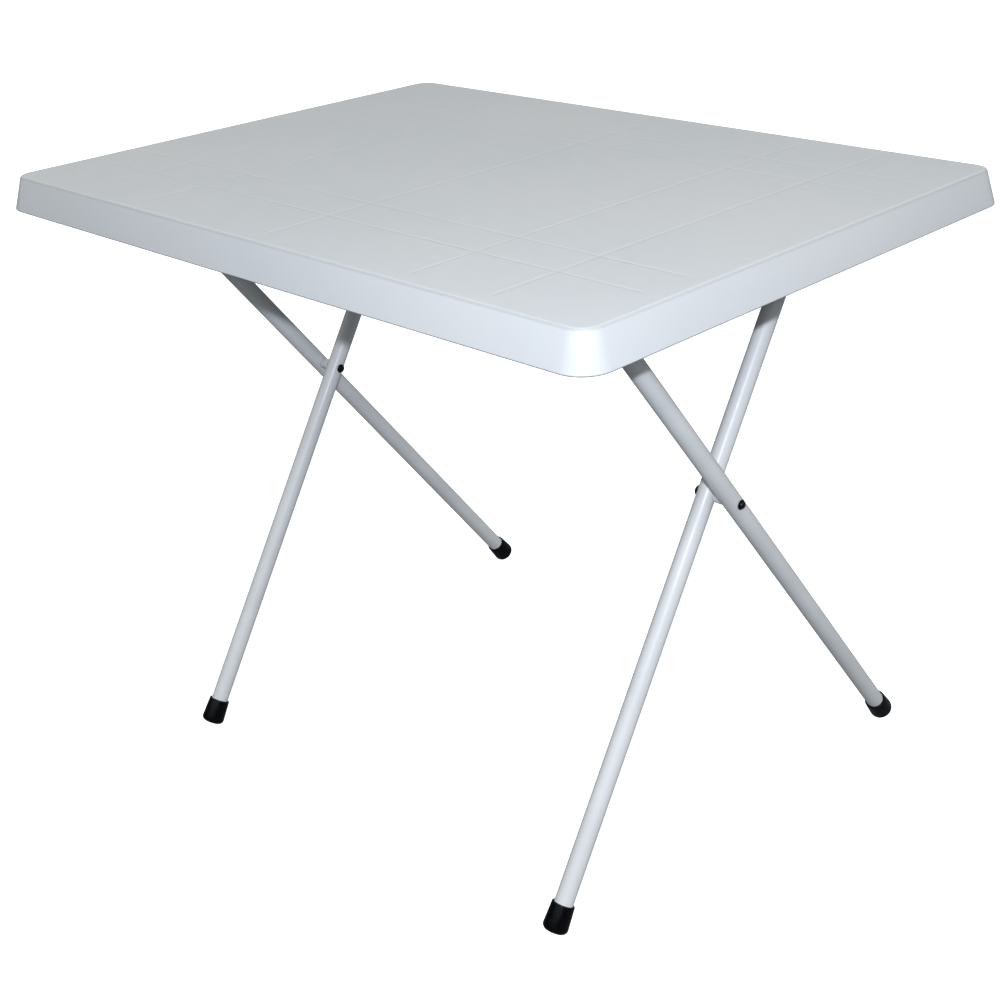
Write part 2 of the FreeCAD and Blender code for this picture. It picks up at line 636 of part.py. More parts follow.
os.makedirs("parts", exist_ok=True)
for piece in pieces:
    piece.Shape.exportStep(f"parts/{piece.Label}.step")
    box = exact_bounds(piece)
    print(f"{piece.Label}: {len(piece.Shape.Solids)} solids, {piece.Shape.Volume:.0f} mm3,",
          f"x {box.XMin:.1f}..{box.XMax:.1f}, y {box.YMin:.1f}..{box.YMax:.1f},",
          f"z {box.ZMin:.1f}..{box.ZMax:.1f}")
shift = -outline.Center.y
print(f"pivot axis y {calc('Sizes.pivot_shift') + shift:.3f}, z {calc('Sizes.pivot_height'):.3f}")
print(f"hinge axis y {calc(HINGE_Y) + shift:.3f}, z {calc(HINGE_HEIGHT):.3f}")
print(f"catch axis y {calc(CATCH_Y) + shift:.3f}, z {calc(CATCH_HEIGHT):.3f}")
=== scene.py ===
import bmesh
import bpy
import json
import math
from mathutils import Matrix, Vector, noise


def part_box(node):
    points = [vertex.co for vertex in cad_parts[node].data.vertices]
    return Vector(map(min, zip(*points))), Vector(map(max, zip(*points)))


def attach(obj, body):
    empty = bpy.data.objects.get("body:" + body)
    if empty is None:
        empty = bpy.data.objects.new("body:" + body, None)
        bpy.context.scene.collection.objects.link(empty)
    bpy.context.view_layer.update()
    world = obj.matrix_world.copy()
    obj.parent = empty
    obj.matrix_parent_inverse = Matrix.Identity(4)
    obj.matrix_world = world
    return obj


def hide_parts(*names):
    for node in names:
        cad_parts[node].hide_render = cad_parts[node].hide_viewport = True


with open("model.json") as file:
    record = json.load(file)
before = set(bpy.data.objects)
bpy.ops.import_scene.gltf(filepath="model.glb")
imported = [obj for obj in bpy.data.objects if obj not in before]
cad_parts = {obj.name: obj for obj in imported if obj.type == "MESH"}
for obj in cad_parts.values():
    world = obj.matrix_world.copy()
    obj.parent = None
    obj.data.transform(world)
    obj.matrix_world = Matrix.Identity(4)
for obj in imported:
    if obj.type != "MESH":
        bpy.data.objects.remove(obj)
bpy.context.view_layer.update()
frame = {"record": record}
MM = 0.001
SIDES = (("left", -1), ("right", 1))

# Sizes that the frame's boxes don't give, in metres.
EDGE_ROUND = 3 * MM
FLARE = 10 * MM
CORNER = 28 * MM
WALL = 3 * MM
DECK = 3.5 * MM
RIB_DEPTH = 10 * MM
RIB_PITCH = 100 * MM
TUBE = 9.5 * MM
TUBE_WALL = 1.2 * MM
BEND = 45 * MM
RIVET = 3 * MM
SCREW = 2 * MM
PLAY = 0.3 * MM

# Points nearer than this are welded, and edges sharper than this angle in degrees stay sharp.
WELD = 0.005 * MM
SHARP = 38

# Steps round a tube or ring, a cap, a small head, a boss or strap, a bend or notch, and a bevel.
TUBE_STEPS = 40
CAP_STEPS = 56
HEAD_STEPS = 32
ARC_STEPS = 24
BEND_STEPS = 18
BEVEL_STEPS = 3


# Material helpers

# What a noise texture mostly stays between.
NOISE_RANGE = (0.3, 0.7)


class Shader:
    """A material's node tree with one Principled shader."""

    def __init__(self, name, base, roughness, metallic=0.0, specular=0.5):
        self.material = bpy.data.materials.new(name)
        self.material.use_nodes = True
        self.tree = self.material.node_tree
        self.shader = self.tree.nodes["Principled BSDF"]
        self.shader.inputs["Base Color"].default_value = (*base, 1)
        self.shader.inputs["Roughness"].default_value = roughness
        self.shader.inputs["Metallic"].default_value = metallic
        self.shader.inputs["Specular IOR Level"].default_value = specular
        coordinates = self.tree.nodes.new("ShaderNodeTexCoord")
        self.place = coordinates.outputs["Object"]

    def link(self, start, end):
        self.tree.links.new(start, end)

    def noise(self, scale, detail, roughness=0.5):
        node = self.tree.nodes.new("ShaderNodeTexNoise")
        node.inputs["Scale"].default_value = scale
        node.inputs["Detail"].default_value = detail
        node.inputs["Roughness"].default_value = roughness
        self.link(self.place, node.inputs["Vector"])
        return node.outputs["Fac"]

    def mottle(self, scale, detail, low=0, high=1):
        """Noise, stretched to run from low to high."""
        return self.remap(self.noise(scale, detail), *NOISE_RANGE, low, high)

    def remap(self, value, low, high, to_low, to_high):
        node = self.tree.nodes.new("ShaderNodeMapRange")
        for name, number in (("From Min", low), ("From Max", high),
                             ("To Min", to_low), ("To Max", to_high)):
            node.inputs[name].default_value = number
        self.link(value, node.inputs["Value"])
        return node.outputs["Result"]

    def multiply(self, first, second):
        node = self.tree.nodes.new("ShaderNodeMath")
        node.operation = "MULTIPLY"
        self.link(first, node.inputs[0])
        self.link(second, node.inputs[1])
        return node.outputs["Value"]

    def blend(self, factor, first, second):
        """A colour that goes from first to second; each is a colour or a socket."""
        node = self.tree.nodes.new("ShaderNodeMix")
        node.data_type = "RGBA"
        self.link(factor, node.inputs["Factor"])
        for name, value in (("A", first), ("B", second)):
            socket = next(s for s in node.inputs if s.name == name and s.type == "RGBA")
            if isinstance(value, tuple):
                socket.default_value = (*value, 1)
            else:
                self.link(value, socket)
        return next(s for s in node.outputs if s.type == "RGBA")

    def colour(self, socket):
        self.link(socket, self.shader.inputs["Base Color"])

    def rough(self, socket):
        self.link(socket, self.shader.inputs["Roughness"])

    def bump(self, height, distance, strength):
        node = self.tree.nodes.new("ShaderNodeBump")
        node.inputs["Distance"].default_value = distance
        node.inputs["Strength"].default_value = strength
        self.link(height, node.inputs["Height"])
        self.link(node.outputs["Normal"], self.shader.inputs["Normal"])


# How far below the deck the painted shade on the rounded crease begins, is full, begins to fade and
# ends.
PAINTED_CREASE_SHADE = (0.16 * MM, 0.5 * MM, 1.5 * MM, 2.6 * MM)
# How far above the apron's foot the painted shade along its lip begins to fade, and ends.
PAINTED_LIP_SHADE = (0.8 * MM, 1.6 * MM)


def top_resin():
    """Moulded resin: light grey-white, faintly mottled, with painted shade along its rounded top edge
    and along its lower edge.
    """
    made = Shader("top_resin", (0.60, 0.61, 0.625), 0.42)
    low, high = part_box("table_top")
    split = made.tree.nodes.new("ShaderNodeSeparateXYZ")
    made.link(made.place, split.inputs["Vector"])
    height = split.outputs["Z"]
    resin = made.blend(made.mottle(4, 4), (0.585, 0.60, 0.615), (0.62, 0.625, 0.63))
    # Painted shade: a darker grey band on the rounded edge just below the deck.
    begin, full, fade, end = [high[2] - depth for depth in PAINTED_CREASE_SHADE]
    painted_crease_shade = made.multiply(made.remap(height, begin, full, 0, 1), made.remap(height, end, fade, 0, 1))
    resin = made.blend(painted_crease_shade, resin, (0.47, 0.48, 0.49))
    # Painted shade: a dark band along the apron's foot.
    painted_lip_shade = made.remap(height, low[2] + PAINTED_LIP_SHADE[1], low[2] + PAINTED_LIP_SHADE[0], 0, 1)
    made.colour(made.blend(painted_lip_shade, resin, (0.22, 0.22, 0.23)))
    made.rough(made.mottle(60, 4, 0.38, 0.50))
    made.bump(made.noise(1400, 2), 0.06 * MM, 0.5)
    return made.material


def painted_tube():
    """Off-white powder coat with a slight orange peel."""
    made = Shader("painted_tube", (0.66, 0.66, 0.65), 0.38, specular=0.4)
    made.colour(made.blend(made.mottle(18, 4), (0.63, 0.635, 0.64), (0.68, 0.685, 0.69)))
    made.rough(made.mottle(90, 3, 0.32, 0.42))
    made.bump(made.noise(420, 2), 0.02 * MM, 0.3)
    return made.material


def foot_plastic():
    """Glossy black vinyl with a few scuffs."""
    made = Shader("foot_plastic", (0.003, 0.003, 0.005), 0.26, specular=0.15)
    scuff = made.remap(made.noise(160, 5, 0.7), 0.55, 0.75, 0, 1)
    made.colour(made.blend(scuff, (0.001, 0.001, 0.002), (0.006, 0.006, 0.008)))
    made.rough(made.remap(scuff, 0, 1, 0.24, 0.4))
    made.bump(made.noise(900, 2), 0.01 * MM, 0.3)
    return made.material


def spacer_plastic():
    """Off-white nylon bush."""
    made = Shader("spacer_plastic", (0.60, 0.60, 0.59), 0.45)
    tone = made.noise(240, 3)
    made.colour(made.blend(tone, (0.57, 0.57, 0.56), (0.63, 0.63, 0.62)))
    made.rough(made.remap(tone, *NOISE_RANGE, 0.38, 0.55))
    made.bump(made.noise(1500, 2), 0.05 * MM, 0.5)
    return made.material


def fitting_plastic():
    """Satin grey-white nylon of the straps and racks."""
    made = Shader("fitting_plastic", (0.50, 0.51, 0.52), 0.4)
    tone = made.noise(70, 3)
    made.colour(made.blend(tone, (0.47, 0.48, 0.49), (0.54, 0.55, 0.56)))
    made.rough(made.remap(tone, *NOISE_RANGE, 0.34, 0.5))
    made.bump(made.noise(1200, 2), 0.07 * MM, 0.5)
    return made.material


def plated_steel(name, dark, light, roughness):
    """Plated steel, blotched where the plating is thin."""
    made = Shader(name, light, roughness, metallic=1.0)
    tone = made.remap(made.noise(400, 4, 0.7), 0.35, 0.7, 0, 1)
    made.colour(made.blend(tone, dark, light))
    made.rough(made.remap(tone, 0, 1, roughness + 0.12, roughness - 0.05))
    made.bump(made.noise(2200, 2), 0.04 * MM, 0.5)
    return made.material


MATERIALS = {
    "top_resin": top_resin(),
    "painted_tube": painted_tube(),
    "foot_plastic": foot_plastic(),
    "spacer_plastic": spacer_plastic(),
    "fitting_plastic": fitting_plastic(),
    "rivet_steel": plated_steel("rivet_steel", (0.015, 0.015, 0.018), (0.05, 0.05, 0.055), 0.32),
    "screw_steel": plated_steel("screw_steel", (0.42, 0.42, 0.43), (0.60, 0.60, 0.61), 0.28),
}

subparts = {each["node"]: each for each in frame["record"]["subparts"]}
body_of = {node: body for body, members in frame["record"]["behaviour"]["bodies"].items()
           for node in members}


# Mesh helpers

def rounded(corners, steps):
    """A closed outline through corners (x, y, radius), with an arc of that radius at each."""
    outline = []
    for index, (x, y, radius) in enumerate(corners):
        corner = Vector((x, y))
        if not radius:
            outline.append(corner)
            continue
        before = (Vector(corners[index - 1][:2]) - corner).normalized()
        after = (Vector(corners[(index + 1) % len(corners)][:2]) - corner).normalized()
        half = before.angle(after) / 2
        centre = corner + (before + after).normalized() * radius / math.sin(half)
        start = corner + before * radius / math.tan(half) - centre
        turn = (math.pi - 2 * half) * (1 if before.x * after.y - before.y * after.x < 0 else -1)
        outline += [centre + Matrix.Rotation(turn * step / steps, 2) @ start
                    for step in range(steps + 1)]
    return outline


def arc(x, y, radius, start, end, steps):
    """Points on a circle from one angle to another, in degrees."""
    angles = [math.radians(start + (end - start) * step / steps) for step in range(steps + 1)]
    return [Vector((x + radius * math.cos(angle), y + radius * math.sin(angle))) for angle in angles]


class Build:
    """Collects one piece's points and faces, then makes the object."""

    def __init__(self, name, node):
        self.name, self.node = name, node
        self.points, self.faces = [], []

    def add(self, points, faces):
        start = len(self.points)
        self.points += [Vector(point) for point in points]
        self.faces += [[start + corner for corner in face] for face in faces]

    def bridge(self, rings, wrap=False, ends=False):
        """Quads between rings of equal length; wrap joins the last ring to the first."""
        count = len(rings[0])
        pairs = list(zip(range(len(rings)), range(1, len(rings))))
        if wrap:
            pairs.append((len(rings) - 1, 0))
        faces = [[a * count + i, a * count + (i + 1) % count,
                  b * count + (i + 1) % count, b * count + i]
                 for a, b in pairs for i in range(count)]
        if ends:
            faces.append(list(range(count)))
            faces.append([(len(rings) - 1) * count + i for i in range(count)])
        self.add([point for ring in rings for point in ring], faces)

    def lathe(self, profile, place, steps, wrap=False):
        """Turn a profile of (radius, height) about the Z axis of a placement matrix."""
        angles = [2 * math.pi * step / steps for step in range(steps)]
        rings = [[place @ Vector((radius * math.cos(angle), radius * math.sin(angle), height))
                  for angle in angles] for radius, height in profile]
        self.bridge(rings, wrap=wrap)

    def extrude(self, outline, half_width, x, y, z):
        """A solid with the outline (y, z) and its width along X."""
        rings = [[Vector((x + side * half_width, y + point[0], z + point[1])) for point in outline]
                 for side in (-1, 1)]
        self.bridge(rings, ends=True)

    def finish(self, bevel=0.0):
        mesh = bpy.data.meshes.new(self.name)
        mesh.from_pydata(self.points, [], self.faces)
        work = bmesh.new()
        work.from_mesh(mesh)
        bmesh.ops.remove_doubles(work, verts=work.verts, dist=WELD)
        bmesh.ops.recalc_face_normals(work, faces=work.faces)
        work.to_mesh(mesh)
        work.free()
        mesh.shade_smooth()
        mesh.set_sharp_from_angle(angle=math.radians(SHARP))
        piece = bpy.data.objects.new(self.name, mesh)
        bpy.context.scene.collection.objects.link(piece)
        if bevel:
            modifier = piece.modifiers.new("rounded_edges", "BEVEL")
            modifier.width = bevel
            modifier.segments = BEVEL_STEPS
            modifier.angle_limit = math.radians(SHARP)
            modifier.harden_normals = True
        slot = subparts[self.node]["material_slot"]
        mesh.materials.append(MATERIALS[slot])
        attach(piece, body_of[self.node])
        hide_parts(self.node)
        return piece


def middle(node):
    low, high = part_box(node)
    return (Vector(low) + Vector(high)) / 2


def joint_place(name):
    joints = frame["record"]["behaviour"]["joints"]
    return Vector(next(joint["pos_m"] for joint in joints if joint["name"] == name))


HINGE = joint_place("top_tilt")
PIVOT = joint_place("scissor_close")


# The top

LINE_X = (0, 188 * MM, 279 * MM)
LINE_Y = (146 * MM, 197 * MM)
LINE_HALF = 2.2 * MM
LINE_DEPTH = 0.26 * MM
LINE_MARGIN = 24 * MM
LINE_FADE = 10 * MM
RIB_ROOT = 1.6 * MM
RIB_TIP = 1.1 * MM
CORNER_CELLS = 6
GRID_STEP = 20 * MM
WAVE = 0.12 * MM
WAVE_FADE = 160 * MM
WAVE_RATE = 7
RIM_ROUND = 1.4 * MM
BOSS = 5 * MM
BOSS_FOOT = 6.2 * MM
BOSS_EDGE = 0.4 * MM
SINK = 1 * MM


def grid_places(zone, corner, breaks):
    """Steps along one axis: chosen breaks with filling between, then equal steps in the corners."""
    edge = [zone + corner * step / CORNER_CELLS for step in range(1, CORNER_CELLS + 1)]
    fixed = sorted({round(place, 7) for place in breaks if abs(place) < zone} | {-zone, zone})
    places = [fixed[0]]
    for start, end in zip(fixed, fixed[1:]):
        parts = math.ceil((end - start) / GRID_STEP)
        places += [start + (end - start) * part / parts for part in range(1, parts + 1)]
    return [-place for place in reversed(edge)] + places + edge


def round_corner(x, y, zone_x, zone_y, corner):
    """Move a grid point so that the grid's square corner becomes a quarter disc."""
    u, v = (abs(x) - zone_x) / corner, (abs(y) - zone_y) / corner
    if u <= 0 or v <= 0:
        return Vector((x, y))
    across = zone_x + corner * u * math.sqrt(1 - v * v / 2)
    along = zone_y + corner * v * math.sqrt(1 - u * u / 2)
    return Vector((math.copysign(across, x), math.copysign(along, y)))


def rim_indices(count_x, count_y):
    """Grid indices once round the rim."""
    last_x, last_y = count_x - 1, count_y - 1
    return ([(i, 0) for i in range(last_x)] + [(last_x, j) for j in range(last_y)]
            + [(i, last_y) for i in range(last_x, 0, -1)] + [(0, j) for j in range(last_y, 0, -1)])


def plate(build, zone_x, zone_y, corner, breaks_x, breaks_y, middle_y, height, slope=0.0):
    """A gridded plate with rounded corners; height(x, y) gives each point's z.

    Where the rim lies under the plate's highest level, slope carries it outward along the wall.
    Returns the rim's points once round, and the direction out of the plate at each.
    """
    grid_x = grid_places(zone_x, corner, breaks_x)
    grid_y = grid_places(zone_y, corner, breaks_y)
    rim = rim_indices(len(grid_x), len(grid_y))
    heights = {(i, j): height(x, y) for i, x in enumerate(grid_x) for j, y in enumerate(grid_y)}
    places = {(i, j): round_corner(x, y, zone_x, zone_y, corner)
              for i, x in enumerate(grid_x) for j, y in enumerate(grid_y)}
    level = max(heights.values())
    ways = []
    for key in rim:
        place = places[key]
        core = Vector((max(-zone_x, min(zone_x, place.x)), max(-zone_y, min(zone_y, place.y))))
        ways.append((place - core).normalized())
        places[key] = place + ways[-1] * slope * (level - heights[key])
    points = {key: Vector((place.x, place.y + middle_y, heights[key]))
              for key, place in places.items()}
    rows = len(grid_y)
    faces = [[i * rows + j, (i + 1) * rows + j, (i + 1) * rows + j + 1, i * rows + j + 1]
             for i in range(len(grid_x) - 1) for j in range(rows - 1)]
    build.add(points.values(), faces)
    return [points[key] for key in rim], ways


def line_height(x, y, half_x, half_y):
    """How far the deck's shallow lines go down at a place."""
    def across(distance):
        return 0.5 + 0.5 * math.cos(math.pi * min(1, distance / LINE_HALF))

    def fade(reach, half):
        return max(0, min(1, (half - LINE_MARGIN - reach) / LINE_FADE))
    crosswise = max(across(abs(abs(x) - place)) for place in LINE_X) * fade(abs(y), half_y)
    lengthwise = max(across(abs(abs(y) - place)) for place in LINE_Y) * fade(abs(x), half_x)
    return -LINE_DEPTH * max(crosswise, lengthwise)


def wave_height(x, y, half_x, half_y):
    """The slight sink of a large moulding, none at its rim."""
    edge = min(1, (half_x - abs(x)) / WAVE_FADE, (half_y - abs(y)) / WAVE_FADE)
    return -WAVE * max(0, edge) * (0.5 + 0.5 * noise.noise(Vector((x, y, 0)) * WAVE_RATE))


def screw_places(node):
    """The two screws of a node, from its box and the radius of their heads."""
    low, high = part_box(node)
    return [(middle(node).x, low[1] + SCREW_HEAD), (middle(node).x, high[1] - SCREW_HEAD)]


def make_top():
    """The moulding: a deck with shallow lines, a drafted apron and a ribbed underside."""
    low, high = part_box("table_top")
    half_x, half_y = (high[0] - low[0]) / 2, (high[1] - low[1]) / 2
    middle_y, level, apron = (high[1] + low[1]) / 2, high[2], high[2] - low[2]
    slope = FLARE / apron
    inset = EDGE_ROUND * math.tan((math.pi / 2 - math.atan(slope)) / 2)
    zone_x, zone_y, corner = half_x - CORNER, half_y - CORNER, CORNER - FLARE - inset
    inner = inset + FLARE - WALL - slope * (apron - DECK)
    ribs_x = [RIB_PITCH * number for number in range(-3, 4)]
    ribs_y = [RIB_PITCH * number for number in range(-2, 3)]

    def deck_height(x, y):
        return (level + line_height(x, y, half_x, half_y)
                + wave_height(x, y, zone_x + corner, zone_y + corner))

    def under_height(x, y):
        reach = min(min(abs(x - place) for place in ribs_x), min(abs(y - place) for place in ribs_y))
        on_rib = reach < (RIB_TIP + RIB_ROOT) / 2
        return level - DECK - RIB_DEPTH * on_rib

    def breaks(lines, ribs, half):
        line_steps = [LINE_HALF * part / 2 for part in range(-3, 4)]
        rib_steps = (-RIB_ROOT, -RIB_TIP, RIB_TIP, RIB_ROOT)
        ends = [half - LINE_MARGIN, half - LINE_MARGIN - LINE_FADE]
        return ([sign * place + step for place in lines for sign in (-1, 1) for step in line_steps]
                + [sign * end for end in ends for sign in (-1, 1)]
                + [place + step for place in ribs for step in rib_steps])

    build = Build("moulded_top", "table_top")
    breaks_x, breaks_y = breaks(LINE_X, ribs_x, half_x), breaks(LINE_Y, ribs_y, half_y)
    rim, ways = plate(build, zone_x, zone_y, corner, breaks_x, breaks_y, middle_y, deck_height)
    under_rim, _ = plate(build, zone_x, zone_y, corner + inner, breaks_x, breaks_y, middle_y,
                         under_height, slope)
    foot = inset + FLARE
    profile = rounded([(0, 0, 0), (inset, 0, EDGE_ROUND), (foot, -apron, RIM_ROUND),
                       (foot - WALL, -apron, RIM_ROUND), (inner, -DECK, 0)], steps=8)[2:-1]
    rings = [[Vector((point.x + way.x * out, point.y + way.y * out, level + drop))
              for point, way in zip(rim, ways)] for out, drop in profile]
    build.bridge([rim] + rings + [under_rim])
    for node in SCREW_NODES:
        for x, y in screw_places(node):
            boss = rounded([(0, SINK, 0), (BOSS_FOOT, SINK, 0), (BOSS, -2 * SINK, SINK),
                            (BOSS, -RIB_DEPTH, BOSS_EDGE), (0, -RIB_DEPTH, 0)], steps=3)
            build.lathe(boss, Matrix.Translation((x, y, level - DECK)), ARC_STEPS)
    return build.finish()


# The frames and what is on them

CAP_BASE = 6 * MM
CAP_LENGTH = 28 * MM
CAP_NECK = 11.5 * MM
CAP_FOOT = 13 * MM
CAP_ROUND = 5 * MM
CAP_LIP = 0.8 * MM
RIVET_DOME = 2.6 * MM
RIVET_TAIL = 1.4 * MM
HEAD_EDGE = 0.2 * MM
SPACER_EDGE = 0.5 * MM
WASHER_EDGE = 0.25 * MM


class Frame:
    """Where a U frame's legs and crossbar run, from its tube's box."""

    def __init__(self, node, crossbar):
        low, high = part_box(node)
        self.node = node
        self.half = high[0] - TUBE
        self.up = (crossbar - PIVOT).normalized()
        self.top = (crossbar - PIVOT).length
        end_height = low[2] + TUBE * abs(self.up.y)
        self.end = (end_height - PIVOT.z) / self.up.z

    def point(self, x, reach):
        return Vector((x, PIVOT.y + self.up.y * reach, PIVOT.z + self.up.z * reach))


def make_tube(name, run):
    """A round tube bent to a U, with its wall's thickness showing at the ends."""
    side, bar = run.half - BEND, run.top - BEND
    path = [((-run.half, run.end), (0, 1))]
    for centre, first in ((-side, 180), (side, 90)):
        for step in range(BEND_STEPS + 1):
            angle = math.radians(first - 90 * step / BEND_STEPS)
            path.append(((centre + BEND * math.cos(angle), bar + BEND * math.sin(angle)),
                         (math.sin(angle), -math.cos(angle))))
    path.append(((run.half, run.end), (0, -1)))
    across = Vector((1, 0, 0))
    out = across.cross(run.up)

    def ring(spot, way, radius):
        side_way = across * way[1] - run.up * way[0]
        turns = [2 * math.pi * turn / TUBE_STEPS for turn in range(TUBE_STEPS)]
        return [run.point(*spot) + (side_way * math.cos(turn) + out * math.sin(turn)) * radius
                for turn in turns]
    outer = [ring(spot, way, TUBE) for spot, way in path]
    inner = [ring(spot, way, TUBE - TUBE_WALL) for spot, way in reversed(path)]
    build = Build(name, run.node)
    build.bridge(outer + inner, wrap=True)
    return build.finish()


def make_cap(node, run):
    """A flared vinyl cap, flat where it meets the floor."""
    x = middle(node).x
    base = run.point(x, run.end) - run.up * CAP_BASE
    turn = Vector((0, 0, 1)).rotation_difference(run.up).to_matrix().to_4x4()
    profile = rounded([(0, 0, 0), (CAP_FOOT, 0, CAP_ROUND), (CAP_NECK, CAP_LENGTH, CAP_LIP),
                       (TUBE, CAP_LENGTH, 0), (TUBE, CAP_BASE, 0), (0, CAP_BASE, 0)], steps=8)
    build = Build(f"cap_{node}", node)
    build.lathe(profile, Matrix.Translation(base) @ turn, CAP_STEPS)
    for point in build.points:
        point.z = max(0, point.z)
    return build.finish()


def make_rivet(node, side):
    """A shank with a domed head outside and a flat tail inside."""
    low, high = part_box(node)
    head, length = (high[2] - low[2]) / 2, high[0] - low[0]
    profile = rounded([(0, 0, 0), (head, 0, 0.7 * RIVET_TAIL), (head, RIVET_TAIL, HEAD_EDGE),
                       (RIVET, RIVET_TAIL, 0), (RIVET, length - RIVET_DOME, 0),
                       (head, length - RIVET_DOME, HEAD_EDGE), (head, length, 0.8 * RIVET_DOME),
                       (0, length, 0)], steps=6)
    inside = min(low[0], high[0], key=abs)
    turn = Matrix.Rotation(side * math.pi / 2, 4, "Y")
    build = Build(f"domed_{node}", node)
    build.lathe(profile, Matrix.Translation((inside, PIVOT.y, PIVOT.z)) @ turn, HEAD_STEPS)
    return build.finish()


def make_ring(node, edge):
    """A washer or bush on a rivet, with its edges rounded."""
    low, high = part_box(node)
    radius, length = (high[2] - low[2]) / 2, high[0] - low[0]
    profile = rounded([(RIVET, 0, edge), (radius, 0, edge), (radius, length, edge),
                       (RIVET, length, edge)], steps=3)
    build = Build(f"round_{node}", node)
    place = Matrix.Translation((low[0], PIVOT.y, PIVOT.z)) @ Matrix.Rotation(math.pi / 2, 4, "Y")
    build.lathe(profile, place, TUBE_STEPS, wrap=True)
    return build.finish()


# Straps, racks and screws under the top

FLANGE = 15 * MM
STRAP = 3 * MM
FITTING_EDGE = 0.6 * MM
CLEAR = TUBE + PLAY
TOOTH = 6 * MM
TOOTH_TIP = 5 * MM
NOTCH_LEAN = 38
SCREW_HEAD = 4 * MM
HEAD_HEIGHT = 2.4 * MM
SCREW_ROUND = 1.4 * MM
RECESS_LENGTH = 4.4 * MM
RECESS_WIDTH = 1.1 * MM
RECESS_DEPTH = 1.2 * MM
SCREW_NODES = [f"{kind}_screws_{side}" for kind in ("strap", "rack") for side, _ in SIDES]


def make_strap(node):
    """A saddle round the crossbar with a flange at each side."""
    low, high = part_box(node)
    outer, reach = CLEAR + STRAP, CLEAR + STRAP + FLANGE
    outline = [Vector((-reach, CLEAR)), Vector((-CLEAR, CLEAR))]
    outline += arc(0, 0, CLEAR, 180, 360, ARC_STEPS)
    outline += [Vector((CLEAR, CLEAR)), Vector((reach, CLEAR)), Vector((reach, CLEAR - STRAP)),
                Vector((outer, CLEAR - STRAP))]
    outline += arc(0, 0, outer, 0, -180, ARC_STEPS)
    outline += [Vector((-outer, CLEAR - STRAP)), Vector((-reach, CLEAR - STRAP))]
    build = Build(f"saddle_{node}", node)
    build.extrude(outline, (high[0] - low[0]) / 2, middle(node).x, HINGE.y, HINGE.z)
    return build.finish(bevel=FITTING_EDGE)


def make_rack(node, crossbar):
    """A comb with a round-topped notch for each place of the crossbar."""
    low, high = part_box(node)
    lean = math.radians(NOTCH_LEAN)
    mouth = CLEAR / math.cos(lean) + TOOTH * math.tan(lean)
    pitch = mouth + CLEAR + TOOTH_TIP
    back, front, top = pitch + mouth + TOOTH_TIP, pitch + CLEAR + TOOTH_TIP, high[2] - crossbar.z
    outline = [Vector((-back - FLANGE, top)), Vector((front + FLANGE, top)),
               Vector((front + FLANGE, top - STRAP)), Vector((front, top - STRAP)),
               Vector((front, -TOOTH))]
    for y in (pitch, 0, -pitch):
        outline.append(Vector((y + CLEAR, -TOOTH)))
        outline += arc(y, 0, CLEAR, 0, 180 - NOTCH_LEAN, BEND_STEPS)
        outline.append(Vector((y - mouth, -TOOTH)))
    outline += [Vector((-back, -TOOTH)), Vector((-back, top - STRAP)),
                Vector((-back - FLANGE, top - STRAP))]
    build = Build(f"comb_{node}", node)
    build.extrude(outline, (high[0] - low[0]) / 2, middle(node).x, crossbar.y, crossbar.z)
    return build.finish(bevel=FITTING_EDGE)


def make_screws(node):
    """Two pan head screws, each with a cross recess."""
    low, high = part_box(node)
    length = high[2] - low[2]
    profile = rounded([(0, 0, 0), (SCREW_HEAD, 0, SCREW_ROUND), (SCREW_HEAD, HEAD_HEIGHT, HEAD_EDGE),
                       (SCREW, HEAD_HEIGHT, 0), (SCREW, length - SCREW, 0), (0, length, 0)], steps=6)
    build = Build(f"pan_head_{node}", node)
    arms = bmesh.new()
    for x, y in screw_places(node):
        build.lathe(profile, Matrix.Translation((x, y, low[2])), HEAD_STEPS)
        for long, wide in ((RECESS_LENGTH, RECESS_WIDTH), (RECESS_WIDTH, RECESS_LENGTH)):
            size = Matrix.Diagonal((long, wide, 2 * RECESS_DEPTH, 1))
            bmesh.ops.create_cube(arms, size=1, matrix=Matrix.Translation((x, y, low[2])) @ size)
    piece = build.finish()
    cutter_mesh = bpy.data.meshes.new("recess_cutter")
    arms.to_mesh(cutter_mesh)
    arms.free()
    cutter = bpy.data.objects.new("recess_cutter", cutter_mesh)
    bpy.context.scene.collection.objects.link(cutter)
    modifier = piece.modifiers.new("recess", "BOOLEAN")
    modifier.operation = "DIFFERENCE"
    modifier.solver = "EXACT"
    modifier.object = cutter
    modifier.use_self = True
    with bpy.context.temp_override(object=piece, active_object=piece):
        bpy.ops.object.modifier_apply(modifier=modifier.name)
    bpy.data.objects.remove(cutter)
    piece.data.set_sharp_from_angle(angle=math.radians(SHARP))
    return piece


make_top()
inner_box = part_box("inner_frame_tube")
catch = Vector((0, inner_box[1][1] - TUBE, inner_box[1][2] - TUBE))
outer_frame = Frame("outer_frame_tube", HINGE)
inner_frame = Frame("inner_frame_tube", catch)
make_tube("outer_u_tube", outer_frame)
make_tube("inner_u_tube", inner_frame)
for side, sign in SIDES:
    make_cap(f"outer_foot_{side}", outer_frame)
    make_cap(f"inner_foot_{side}", inner_frame)
    make_rivet(f"rivet_{side}", sign)
    make_ring(f"spacer_{side}", SPACER_EDGE)
    make_ring(f"outer_washer_{side}", WASHER_EDGE)
    make_ring(f"inner_washer_{side}", WASHER_EDGE)
    make_strap(f"hinge_strap_{side}")
    make_rack(f"notch_rack_{side}", catch)
for node in SCREW_NODES:
    make_screws(node)


# Floor, camera and light

FLOOR_SIZE = 80
FLOOR_CELLS = 8
WALL_RADIUS = 38
WALL_HEIGHT = 40
WALL_SIDES = 64
WHITE_GLOW = 0.9


